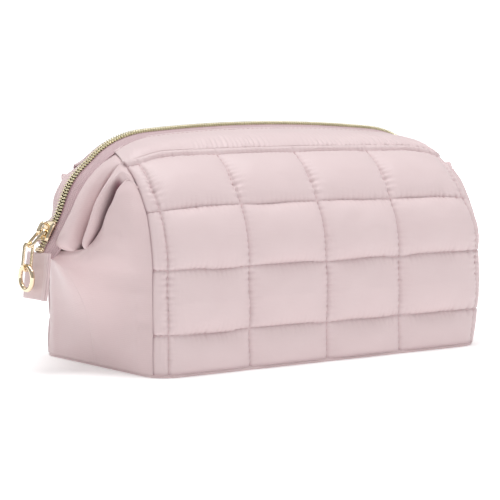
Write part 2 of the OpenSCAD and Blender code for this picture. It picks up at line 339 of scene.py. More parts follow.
class Nodes:
    """A short way to add shader nodes to one tree."""

    def __init__(self, tree: bpy.types.NodeTree) -> None:
        """Keeps the tree."""
        self.tree = tree

    def add(self, kind: str, **values: object) -> bpy.types.Node:
        """Adds a node and sets its properties, or its sockets where a name has no property."""
        node = self.tree.nodes.new(kind)
        for key, value in values.items():
            if hasattr(node, key):
                setattr(node, key, value)
            else:
                node.inputs[key.replace("_", " ")].default_value = value
        return node

    def link(self, a: bpy.types.NodeSocket, b: bpy.types.NodeSocket) -> None:
        """Joins two sockets."""
        self.tree.links.new(a, b)

    def math(self, kind: str, a: object, b: object = 0.0, clamp: bool = False) -> bpy.types.NodeSocket:
        """Adds a Math node on two numbers or sockets and returns its output."""
        node = self.add("ShaderNodeMath", operation=kind, use_clamp=clamp)
        for i, value in enumerate((a, b)):
            if isinstance(value, bpy.types.NodeSocket):
                self.link(value, node.inputs[i])
            else:
                node.inputs[i].default_value = value
        return node.outputs[0]


def new_group(name: str, inputs: dict[str, float], outputs: Sequence[str]) -> Nodes:
    """A shader node group with a vector input named Place, float inputs and float outputs."""
    tree = bpy.data.node_groups.new(name, "ShaderNodeTree")
    tree.interface.new_socket(name="Place", in_out="INPUT", socket_type="NodeSocketVector")
    for key, value in inputs.items():
        socket = tree.interface.new_socket(name=key, in_out="INPUT", socket_type="NodeSocketFloat")
        socket.default_value = value
    for key in outputs:
        tree.interface.new_socket(name=key, in_out="OUTPUT", socket_type="NodeSocketFloat")
    nodes = Nodes(tree)
    nodes.source = nodes.add("NodeGroupInput")
    nodes.sink = nodes.add("NodeGroupOutput")
    return nodes


def weave_group() -> bpy.types.NodeTree:
    """Two crossing sets of threads: their height, and how far a place lies down between them, used as painted
    shade in the gaps.
    """
    n = new_group("weave", {"Threads": 2500.0, "Slant": 0.0}, ("Height", "Gap"))
    split = n.add("ShaderNodeSeparateXYZ")
    n.link(n.source.outputs["Place"], split.inputs[0])
    x = n.math("ADD", split.outputs[0], n.math("MULTIPLY", split.outputs[1], n.source.outputs["Slant"]))
    warp = n.math("SINE", n.math("MULTIPLY", x, n.source.outputs["Threads"]))
    weft = n.math("SINE", n.math("MULTIPLY", split.outputs[1], n.source.outputs["Threads"]))
    both = n.math("ADD", n.math("MULTIPLY", warp, 0.5), n.math("MULTIPLY", weft, 0.5))
    n.link(both, n.sink.inputs["Height"])
    n.link(n.math("SUBTRACT", 0.0, both, clamp=True), n.sink.inputs["Gap"])
    return n.tree


def cloud_group() -> bpy.types.NodeTree:
    """Broad soft patches, with a fine grain over them."""
    n = new_group("cloud", {"Scale": 60.0, "Grain": 900.0}, ("Patch", "Grain"))
    for scale, out in (("Scale", "Patch"), ("Grain", "Grain")):
        noise = n.add("ShaderNodeTexNoise", Detail=3.0, Roughness=0.55)
        n.link(n.source.outputs["Place"], noise.inputs["Vector"])
        n.link(n.source.outputs[scale], noise.inputs["Scale"])
        n.link(noise.outputs["Fac"], n.sink.inputs[out])
    return n.tree


class Place(Enum):
    """Which coordinates a pattern follows."""

    SURFACE = "UV"
    OBJECT = "Object"


class Library:
    """The node groups that every finish shares."""

    def __init__(self) -> None:
        """Builds each group once."""
        self.weave = weave_group()
        self.cloud = cloud_group()


@dataclass(frozen=True)
class Fabric:
    """Woven fabric with a soft satin face, with painted shade in its creases and between its threads."""

    name: str
    colour: tuple[float, float, float]
    # shade: reached through random tone patches and through painted shade in the gaps between threads
    shade: tuple[float, float, float]
    # colour of the painted shade in creases and seams, a dark maroon, mixed in by the fold attribute
    crease_shade: tuple[float, float, float] = (0.26, 0.10, 0.13)
    roughness: float = 0.5
    threads: float = 9000.0
    slant: float = 0.0
    weave_depth: float = 0.00003
    # strength of the painted shade in the gaps between threads
    weave_gap_shade: float = 0.25
    sheen: float = 0.25
    place: Place = Place.SURFACE

    def make(self, library: Library) -> bpy.types.Material:
        """Builds the material from the shared groups."""
        material = bpy.data.materials.new(self.name)
        material.use_nodes = True
        n = Nodes(material.node_tree)
        shader = material.node_tree.nodes["Principled BSDF"]
        where = n.add("ShaderNodeTexCoord")
        weave = n.add("ShaderNodeGroup", node_tree=library.weave)
        weave.inputs["Threads"].default_value = self.threads
        weave.inputs["Slant"].default_value = self.slant
        cloud = n.add("ShaderNodeGroup", node_tree=library.cloud)
        n.link(where.outputs[self.place.value], weave.inputs["Place"])
        n.link(where.outputs["Object"], cloud.inputs["Place"])
        # painted shade in the gaps between threads plus random tone from broad patches, both mixing towards
        # the shade colour
        gap_shade_and_tone = n.math("ADD", n.math("MULTIPLY", weave.outputs["Gap"], self.weave_gap_shade),
                       n.math("MULTIPLY", cloud.outputs["Patch"], 0.35), clamp=True)
        mix = n.add("ShaderNodeMix", data_type="RGBA")
        mix.inputs[6].default_value = (*self.colour, 1.0)
        mix.inputs[7].default_value = (*self.shade, 1.0)
        n.link(gap_shade_and_tone, mix.inputs[0])
        # painted shade: mixes the colour towards the crease shade colour as far as the fold attribute says
        crease_shade = n.add("ShaderNodeMix", data_type="RGBA")
        crease_shade.inputs[7].default_value = (*self.crease_shade, 1.0)
        fold = n.add("ShaderNodeAttribute", attribute_name="fold")
        n.link(fold.outputs["Fac"], crease_shade.inputs[0])
        n.link(mix.outputs[2], crease_shade.inputs[6])
        n.link(crease_shade.outputs[2], shader.inputs["Base Color"])
        rough = n.math("ADD", self.roughness - 0.06, n.math("MULTIPLY", cloud.outputs["Grain"], 0.12))
        n.link(rough, shader.inputs["Roughness"])
        bump = n.add("ShaderNodeBump", Distance=self.weave_depth, Strength=1.0)
        n.link(weave.outputs["Height"], bump.inputs["Height"])
        soft = n.add("ShaderNodeBump", Distance=0.00025, Strength=0.5)
        n.link(cloud.outputs["Patch"], soft.inputs["Height"])
        n.link(bump.outputs["Normal"], soft.inputs["Normal"])
        n.link(soft.outputs["Normal"], shader.inputs["Normal"])
        shader.inputs["Sheen Weight"].default_value = self.sheen
        shader.inputs["Sheen Roughness"].default_value = 0.4
        shader.inputs["Specular IOR Level"].default_value = 0.4
        return material


@dataclass(frozen=True)
class Metal:
    """Plated or drawn metal with fine wear in its gloss."""

    name: str
    colour: tuple[float, float, float]
    dull: tuple[float, float, float]
    roughness: float
    metallic: float = 1.0
    grain: float = 1400.0

    def make(self, library: Library) -> bpy.types.Material:
        """Builds the material from the shared groups."""
        material = bpy.data.materials.new(self.name)
        material.use_nodes = True
        n = Nodes(material.node_tree)
        shader = material.node_tree.nodes["Principled BSDF"]
        where = n.add("ShaderNodeTexCoord")
        cloud = n.add("ShaderNodeGroup", node_tree=library.cloud)
        cloud.inputs["Scale"].default_value = 220.0
        cloud.inputs["Grain"].default_value = self.grain
        n.link(where.outputs["Object"], cloud.inputs["Place"])
        mix = n.add("ShaderNodeMix", data_type="RGBA")
        mix.inputs[6].default_value = (*self.colour, 1.0)
        mix.inputs[7].default_value = (*self.dull, 1.0)
        n.link(n.math("MULTIPLY", cloud.outputs["Patch"], 0.6, clamp=True), mix.inputs[0])
        n.link(mix.outputs[2], shader.inputs["Base Color"])
        n.link(n.math("ADD", self.roughness, n.math("MULTIPLY", cloud.outputs["Grain"], 0.1)),
               shader.inputs["Roughness"])
        bump = n.add("ShaderNodeBump", Distance=0.00001, Strength=0.4)
        n.link(cloud.outputs["Grain"], bump.inputs["Height"])
        n.link(bump.outputs["Normal"], shader.inputs["Normal"])
        shader.inputs["Metallic"].default_value = self.metallic
        return material


@dataclass
class Finishes:
    """Every finish of the bag, built once."""

    library: Library = field(default_factory=Library)

    def __post_init__(self) -> None:
        """Makes the materials."""
        pink, shade = (0.80, 0.655, 0.66), (0.72, 0.545, 0.555)
        self.quilt = Fabric("quilted_satin", pink, shade).make(self.library)
        self.end = Fabric("plain_satin", (0.79, 0.63, 0.635), (0.69, 0.51, 0.52),
                          roughness=0.46).make(self.library)
        self.thread = Fabric("stitch_thread", (0.74, 0.555, 0.565), (0.62, 0.43, 0.45), roughness=0.6,
                             threads=20000.0, place=Place.OBJECT).make(self.library)
        # the tape's twill gaps carry strong painted shade
        self.tape = Fabric("zip_tape", (0.71, 0.53, 0.55), (0.50, 0.33, 0.36), roughness=0.65,
                           threads=6500.0, slant=1.0, weave_depth=0.0001, weave_gap_shade=0.9).make(self.library)
        self.lining = Fabric("lining_cloth", (0.82, 0.70, 0.68), (0.72, 0.58, 0.57), roughness=0.6,
                             sheen=0.1).make(self.library)
        self.board = Fabric("pressed_board", (0.75, 0.72, 0.66), (0.62, 0.58, 0.52), roughness=0.85,
                            place=Place.OBJECT, sheen=0.0).make(self.library)
        self.gold = Metal("polished_gold", (0.93, 0.79, 0.58), (0.80, 0.64, 0.44), 0.08).make(self.library)
        self.coil = Metal("coil_gold", (0.90, 0.84, 0.62), (0.46, 0.38, 0.22), 0.26, 0.75).make(self.library)
        self.steel = Metal("frame_steel", (0.62, 0.62, 0.63), (0.42, 0.42, 0.44), 0.25).make(self.library)


def dress(piece: bpy.types.Object, material: bpy.types.Material) -> None:
    """Gives a piece one material all over."""
    piece.data.materials.clear()
    piece.data.materials.append(material)


# ---------------------------------------------------------------- the bag's own shape


@dataclass
class Form:
    """Sizes of the bag and the surfaces that its pieces lie on. Forwards is away from the zip."""

    half_l: float = 108.0
    half_w: float = 59.0
    corner: float = 13.0
    seam_turn: float = math.radians(65)
    base_z: float = 1.6
    fold_z: float = 52.0
    lean_r: float = 75.0
    lean_a: float = math.radians(54.5)
    seam_drop: float = 0.25
    corner_drop: float = 0.4
    crown_r: float = 900.0
    crown_x: float = 76.0
    shoulder_r: float = 55.0
    leg_a: float = math.radians(58.5)
    zip_h: float = 125.0
    leg_l: float = 43.07
    bow: float = 2.4
    sag: float = 1.3
    bow_from: float = 19.0
    bow_l: float = 40.0
    flare: float = 24.0
    flare_w: float = 32.0
    band_end_x: float = 102.0
    band_edge_d: float = -1.5
    band_edge_f: float = 7.4
    band_end_f: float = 10.4
    right_swell: float = 8.5
    left_tuck: float = 2.4
    back_slump: tuple[float, float] = (4.4, 3.2)

    def __post_init__(self) -> None:
        """Works out the lengths that follow from the sizes."""
        self.crown_a = math.asin(self.crown_x / self.crown_r)
        self.crown_l = self.crown_r * self.crown_a
        self.shoulder_l = self.shoulder_r * (self.leg_a - self.crown_a)
        self.zip_l = self.crown_l + self.shoulder_l + self.leg_l
        inner = self.crown_r - self.shoulder_r
        self.shoulder_cx = inner * math.sin(self.crown_a)
        self.shoulder_cz = self.zip_h - self.crown_r + inner * math.cos(self.crown_a)
        self.straight = self.half_l - self.corner
        self.half_h = self.straight + self.corner * self.seam_turn
        self.low_l = self.fold_z - self.base_z
        self.wall_l = self.low_l + self.lean_r * self.lean_a
        self.seam_f = self.half_w - self.corner * (1 - math.cos(self.seam_turn))

    def arch(self, l: Points, d: Points | float = 0.0) -> tuple[Points, Points, Points]:
        """Place on the zip's arch.

        Args:
            l: distance along the zip from the middle of its crown, to the right.
            d: distance out from the zip's line.

        Returns:
            X, Z and the angle from the crown.
        """
        a = np.abs(l)
        turn = np.where(a < self.crown_l, a / self.crown_r,
                        np.minimum(self.crown_a + (a - self.crown_l) / self.shoulder_r, self.leg_a))
        x = np.where(a < self.crown_l, self.crown_r * np.sin(turn),
                     self.shoulder_cx + self.shoulder_r * np.sin(turn))
        z = np.where(a < self.crown_l, self.zip_h - self.crown_r + self.crown_r * np.cos(turn),
                     self.shoulder_cz + self.shoulder_r * np.cos(turn))
        down = np.maximum(0.0, a - self.crown_l - self.shoulder_l)
        x, z = x + down * math.cos(self.leg_a), z - down * math.sin(self.leg_a)
        s = self.zip_l - a
        out = d + self.bow * np.sin(math.pi * np.clip((s - self.bow_from) / self.bow_l, 0, 1)) ** 2
        out = out - self.sag * (1 - smooth_step((a - 78.0) / 34.0))
        return np.sign(l) * (x + out * np.sin(turn)), z + out * np.cos(turn), np.sign(l) * turn

    def arch_z(self, x: Points) -> Points:
        """Height of the zip's line at a place along X."""
        l = np.linspace(0.0, self.zip_l, 400)
        ax, az, _ = self.arch(l)
        return np.interp(np.abs(x), ax, az)

    def wall(self, h: Points, s: Points, out: Points | float = 0.0) -> Points:
        """Place on a wall: right half or left half, forwards positive.

        Args:
            h: distance along the wall from its middle, round the corner.
            s: distance up the wall from the base seam.
            out: distance out from the wall's face.

        Returns:
            Points of X, forwards and Z.
        """
        turn = np.clip((np.abs(h) - self.straight) / self.corner, 0, None)
        x = np.minimum(np.abs(h), self.straight) + self.corner * np.sin(turn)
        cut = self.corner * (1 - np.cos(turn))
        a = np.clip((s - self.low_l) / self.lean_r, 0, None)
        share = a / self.lean_a
        drop = self.seam_drop * np.maximum(0.0, self.zip_h - self.arch_z(x))
        pull = 3.8 * smooth_step((np.abs(h) - 80) / 30) * share**2
        f = self.half_w - self.lean_r * (1 - np.cos(a)) - cut * (1 - self.corner_drop * share) + pull
        z = self.base_z + np.minimum(s, self.low_l) + self.lean_r * np.sin(a) - drop * share - 0.6 * pull
        f, z = f + out * np.cos(a) * np.cos(turn), z + out * np.sin(a)
        return np.stack([np.sign(h) * (x + out * np.cos(a) * np.sin(turn)), f, z], -1)

    def end(self, f: Points, z: Points) -> Points:
        """X of the end fabric at a distance forwards and a height."""
        a = np.abs(f)
        flat = self.half_w - self.corner
        turn = np.arcsin(np.clip((a - flat) / self.corner, 0, 1))
        x = self.straight + self.corner * np.cos(turn)
        ramp = np.clip((z - 12.0) / 48.0, 0, 1.1) ** 2
        swell = self.flare * np.exp(-((f / self.flare_w) ** 2)) * (1 - np.clip(a / self.seam_f, 0, 1) ** 4)
        plump = 1.4 * np.clip(1 - (a / self.seam_f) ** 2, 0, 1) * np.sin(math.pi * np.clip(z / 60, 0, 1))
        return x + swell * ramp + plump

    def band_edges(self, h: Points) -> tuple[Points, Points]:
        """The band's seam on the wall and its edge on the tape, as X, forwards and Z."""
        low = self.wall(h, np.full_like(h, self.wall_l), -0.8)
        x = h * self.band_end_x / self.half_h
        ls = np.linspace(-self.zip_l, self.zip_l, 1600)
        l = np.interp(x, self.arch(ls)[0], ls)
        ax, az, _ = self.arch(l, self.band_edge_d)
        share = np.abs(x / self.band_end_x) ** 3
        f = self.band_edge_f + (self.band_end_f - self.band_edge_f) * share
        return low, np.stack([ax, f, az], -1)

    @staticmethod
    def world(points: Points, side: Side, end: End = End.RIGHT) -> Points:
        """Turns points of X, forwards and Z into the frame's axes on one side and end."""
        return points * np.array([end.value, side.value, 1.0])

    def settle(self, points: Points) -> Points:
        """Lets the filled bag settle: its right end swells and its left end draws in at the back."""
        x, y, z = points[:, 0], points[:, 1], points[:, 2]
        reach = smooth_step((np.abs(x) - 88.0) / 14.0) * (1 - smooth_step((np.abs(x) - 116.0) / 16.0))
        height = (0.58 + 0.42 * smooth_step(z / 28.0)) * (1 - smooth_step((z - 58.0) / 48.0))
        swell = np.where(x > 0, self.right_swell, self.left_tuck * smooth_step((y + 10.0) / 45.0))
        behind = smooth_step((y - 5.0) / 8.0) * smooth_step((-x - 84.0) / 18.0)
        slump = behind * smooth_step((z - 60.0) / 22.0) * (1 - smooth_step((-x - 126.0) / 12.0))
        return np.stack([x + swell * reach * height + self.back_slump[0] * slump, y,
                         z - self.back_slump[1] * slump], -1)

    def skin(self, points: Points, side: Side, end: End = End.RIGHT) -> Points:
        """The settled fabric's place in the frame's axes."""
        return self.settle(self.world(points, side, end))


def mirrored(side: Side, end: End = End.RIGHT) -> bool:
    """Whether a piece shaped at the right front has to turn its faces over."""
    return side.value * end.value > 0


# ---------------------------------------------------------------- sub-assemblies


@dataclass
class QuiltedWall:
    """One padded wall: a quilted panel, its gathered band, its stitching and its lining."""

    form: Form
    side: Side
    columns: tuple[float, ...] = (-101.0, -50.5, 0.0, 50.5, 101.0)
    rows: tuple[float, ...] = (19.5, 51.5, 84.5)
    panel_cells: tuple[int, int] = (290, 160)
    puff: float = 3.2
    sink: float = 1.5
    puff_run: float = 6.5
    top_stitch: float = 3.4
    panel_t: float = 1.2
    stitch_l: float = 2.6
    stitch_pitch: float = 3.3
    stitch_r: float = 0.27
    band_bulge: float = 2.6
    pucker_pitch: float = 3.1
    pucker_h: float = 0.6
    pucker_reach: float = 2.2
    seam_wander: float = 0.6
    groove_d: float = 0.65
    groove_half: float = 0.7
    thread_lift: float = 0.32
    band_cells: tuple[int, int] = (290, 30)
    band_t: float = 0.8
    band_puckers: float = 0.75
    band_reach: float = 6.0
    hem_in: float = 1.3
    lining_cells: tuple[int, int] = (60, 40)
    lining_t: float = 0.5
    lining_out: float = -5.2
    lining_low: float = 5.0
    seed: int = 11

    def __post_init__(self) -> None:
        """Makes the noise that this wall's folds come from."""
        self.noise = SoftNoise(self.seed + self.side.value)
        self.name = self.side.name.lower()

    def column_at(self, k: int, s: Points) -> Points:
        """Where a vertical seam runs, with the small wander of a sewn line."""
        return self.columns[k] + self.seam_wander * self.noise(s / 14.0, np.full_like(s, 7.0 * k))

    def row_at(self, k: int, h: Points) -> Points:
        """Where a level seam runs."""
        return self.rows[k] + self.seam_wander * self.noise(h / 17.0, np.full_like(h, 31.0 + 5 * k))

    def seam_gaps(self, h: Points, s: Points) -> tuple[Points, Points]:
        """Distance to the nearest vertical seam and to the nearest level seam."""
        across = np.min([np.abs(h - self.column_at(k, s)) for k in range(len(self.columns))], axis=0)
        lines = [np.abs(s - self.row_at(k, h)) for k in range(len(self.rows))]
        lines.append(np.abs(s - (self.form.wall_l - self.top_stitch)))
        return across, np.min(lines, axis=0)

    def relief(self, h: Points, s: Points) -> Points:
        """How far the quilted face stands out from the wall at a place.

        Args:
            h: distance along the wall from its middle.
            s: distance up the wall.

        Returns:
            Millimetres out, below 0 in a seam.
        """
        across, along = self.seam_gaps(h, s)
        edge = np.minimum(self.form.half_h - np.abs(h), 50.0)
        hem = np.minimum(s, 50.0)
        run = self.puff_run
        swell = np.ones_like(h)
        for gap in (across, along, edge + 0.6, hem + 0.8):
            swell = swell * (1 - np.exp(-np.maximum(gap, 0) / run))
        near = np.minimum(across, along)
        folds = self.noise((h + 0.8 * s) / 19.0, (s - 0.5 * h) / 34.0) * 0.85
        folds += self.noise((h - 0.9 * s) / 11.0 + 9, (s + 0.7 * h) / 29.0) * 0.5
        groove = self.groove_d * np.exp(-((near / self.groove_half) ** 2))
        gathers = self.pucker_h * self.pucker(h, s)
        return self.puff * 1.45 * swell - self.sink + folds * swell + gathers - groove

    def pucker(self, h: Points, s: Points) -> Points:
        """The small gathers beside every seam, about -1 to 1."""
        across, along = self.seam_gaps(h, s)
        near = np.minimum(across, along)
        draw = np.where(across < along, s, h)
        pull = np.sin(2 * math.pi * draw / self.pucker_pitch + 2.5 * self.noise(draw / 9.0, near * 0))
        pull += 0.9 * self.noise(draw / 2.6, near / 5.0)
        strong = 0.6 + 0.4 * self.noise(draw / 24.0, near * 0 + 3.0)
        return strong * pull * np.exp(-near / self.pucker_reach) * smooth_step(near / self.groove_half)

    def seam_shade_at(self, u: Points, v: Points) -> Points:
        """Painted shade for the quilted face: how strongly a place is darkened in its seams, gathers, side
        seam and hem.
        """
        h = (2 * u - 1) * self.form.half_h
        s = v * self.form.wall_l
        near = np.minimum(*self.seam_gaps(h, s))
        edge = self.form.half_h - np.abs(h)
        # painted shade in the troughs of the gathers, the seam grooves, along the side seam and at the hem
        gathers = 0.16 * np.clip(-self.pucker(h, s), 0, 1)
        seam = 0.15 * np.exp(-((near / self.groove_half) ** 2))
        side = 0.6 * np.exp(-((edge / 0.9) ** 2))
        hem = 0.3 * np.exp(-((s / 1.2) ** 2))
        return gathers + seam + side + hem

    def panel_shape(self, u: Points, v: Points) -> Points:
        """The quilted face, from the base seam to the band seam."""
        h = (2 * u - 1) * self.form.half_h
        s = v * self.form.wall_l
        out = self.relief(h, s)
        top = np.clip((s - self.form.wall_l + self.top_stitch) / self.top_stitch, 0, 1)
        zigzag = 0.35 * np.sin(2 * math.pi * (h + 1.1 * s) / 2.9 + 2.0 * self.noise(h / 7.0, s / 9.0))
        zigzag += self.noise(h / 3.0, s / 2.0) * 0.3
        out = out * (1 - top) + top * (-0.1 - 0.4 * top**4 + zigzag * (1 - top**3))
        return self.form.skin(self.form.wall(h, s, out), self.side)

    def band_shape(self, u: Points, v: Points) -> Points:
        """The plain gathered band over the frame's casing."""
        h = (2 * u - 1) * self.form.half_h
        low, high = self.form.band_edges(h)
        line = low + (high - low) * v[:, None]
        width = np.linalg.norm(high - low, axis=1)
        w = v * width
        rise = np.sin(math.pi * np.clip(v, 0, 1) ** 0.85)
        rise = rise * (0.12 + 0.88 * smooth_step((self.form.half_h - np.abs(h)) / 12.0))
        fall = 1 - 0.55 * v
        phase = 2 * math.pi * h / self.pucker_pitch + 3.0 * self.noise(h / 8.0, w * 0 + 2)
        gather = np.sin(phase) + 0.7 * self.noise(h / 1.9, w / 9.0)
        strong = 0.5 + 0.5 * self.noise(h / 26.0, w * 0 + 5) + 0.35 * (self.side.value * -h / 100)
        pucker = self.band_puckers * np.clip(strong, 0.15, 1.2) * gather
        pucker = pucker * np.exp(-w / self.band_reach) * smooth_step(w / 1.2)
        hem = -0.5 * np.exp(-(((width - w - self.hem_in) / 0.6) ** 2))
        folds = 0.5 * self.noise(h / 13.0, w / 12.0 + 40) * rise
        out = self.band_bulge * rise * fall * np.clip(width / 20, 0.4, 1) + pucker + hem + folds
        slope = (high - low) / np.maximum(width, 1e-6)[:, None]
        normal = np.abs(np.stack([0 * slope[:, 0], slope[:, 2], slope[:, 1]], -1))
        return self.form.skin(line + normal * out[:, None], self.side)

    def stitch_frames(self, path: Callable[[Points], Points], length: float) -> Points:
        """Places of a row of stitches along a path.

        Args:
            path: gives points for distances along it.
            length: how long it is.

        Returns:
            Frames for copies().
        """
        at = np.arange(self.stitch_pitch / 2, length, self.stitch_pitch)
        a, b = path(at - self.stitch_l / 2), path(at + self.stitch_l / 2)
        along = b - a
        size = np.linalg.norm(along, axis=1, keepdims=True) / self.stitch_l
        along = along / np.linalg.norm(along, axis=1, keepdims=True)
        out = np.zeros_like(along) + np.array([0.0, self.side.value * 0.8, 0.6])
        out -= along * np.sum(out * along, axis=1, keepdims=True)
        out /= np.linalg.norm(out, axis=1, keepdims=True)
        across = np.cross(along, out)
        return np.stack([(a + b) / 2, along * size, across, out], axis=1)

    def stitch_pattern(self) -> bpy.types.Object:
        """One stitch: a short bead with its ends pulled down into the cloth."""
        deselect()
        bpy.ops.mesh.primitive_uv_sphere_add(segments=6, ring_count=5, radius=1.0)
        stitch = take_new("stitch")
        p = get_points(stitch) * MM
        shaped = np.stack([p[:, 2] * self.stitch_l / 2, p[:, 0] * self.stitch_r, p[:, 1] * self.stitch_r], -1)
        shaped[:, 2] -= 0.35 * (p[:, 2] ** 2)
        set_points(stitch, shaped)
        return stitch

    def seam_paths(self) -> list[tuple[Callable[[Points], Points], float]]:
        """Every sewn line of the panel and the band, with its length."""
        top = self.form.wall_l - self.top_stitch
        span = 2 * self.form.half_h

        def on_wall(h: Points, s: Points) -> Points:
            out = self.relief(h, s) + self.thread_lift
            return self.form.skin(self.form.wall(h, s, out), self.side)

        def upright(k: int) -> Callable[[Points], Points]:
            return lambda t: on_wall(self.column_at(k, t), t)

        def level(k: int) -> Callable[[Points], Points]:
            return lambda t: on_wall(t - span / 2, self.row_at(k, t - span / 2))

        def top_row(t: Points) -> Points:
            return on_wall(t - span / 2, np.full_like(t, top))

        def hem_row(t: Points) -> Points:
            u = np.clip(t / span, 0, 1)
            width = np.linalg.norm(np.subtract(*self.form.band_edges(t - span / 2)), axis=1)
            return self.band_shape(u, 1 - self.hem_in / width) + np.array([0, 0, 0.2])

        paths = [(upright(k), top - 1) for k in range(len(self.columns))]
        paths += [(level(k), span) for k in range(len(self.rows))]
        return paths + [(top_row, span), (hem_row, span)]

    def lining_shape(self, u: Points, v: Points) -> Points:
        """The lining, inside the wall from the base to the band."""
        h = (2 * u - 1) * (self.form.straight + 6.0)
        s = self.lining_low + v * (self.form.wall_l - self.lining_low - 1.0)
        soft = 0.5 * self.noise(h / 15.0 + 20, s / 22.0)
        return self.form.skin(self.form.wall(h, s, self.lining_out + soft), self.side)

    def build(self, finishes: Finishes) -> None:
        """Builds and dresses every piece of the wall, and hangs its band on the wall's body."""
        body = f"{self.name}_wall"
        flip = mirrored(self.side)
        panel = cloth(f"{self.name}_quilted_panel", *self.panel_cells, self.panel_shape,
                      (2 * self.form.half_h, self.form.wall_l), self.panel_t, flip, self.seam_shade_at)
        dress(panel, finishes.quilt)
        band = cloth(f"{self.name}_gathered_band", *self.band_cells, self.band_shape,
                     (2 * self.form.half_h, 24.0), self.band_t, flip)
        dress(band, finishes.quilt)
        rows = np.concatenate([self.stitch_frames(path, length) for path, length in self.seam_paths()])
        thread = copies(f"{self.name}_stitching", self.stitch_pattern(), rows)
        dress(thread, finishes.thread)
        lining = cloth(f"{self.name}_lining", *self.lining_cells, self.lining_shape,
                       (2 * self.form.straight, self.form.wall_l), self.lining_t, flip)
        dress(lining, finishes.lining)
        for piece in (panel, thread, lining):
            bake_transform(piece)
        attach(band, body)
        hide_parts(f"{self.name}_panel_lower", f"{self.name}_panel_upper")
        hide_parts(f"{self.name}_band")
        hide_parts(f"{self.name}_lining_lower", f"{self.name}_lining_upper")
        LOG.info("%s wall: %d stitches", self.name, len(rows))


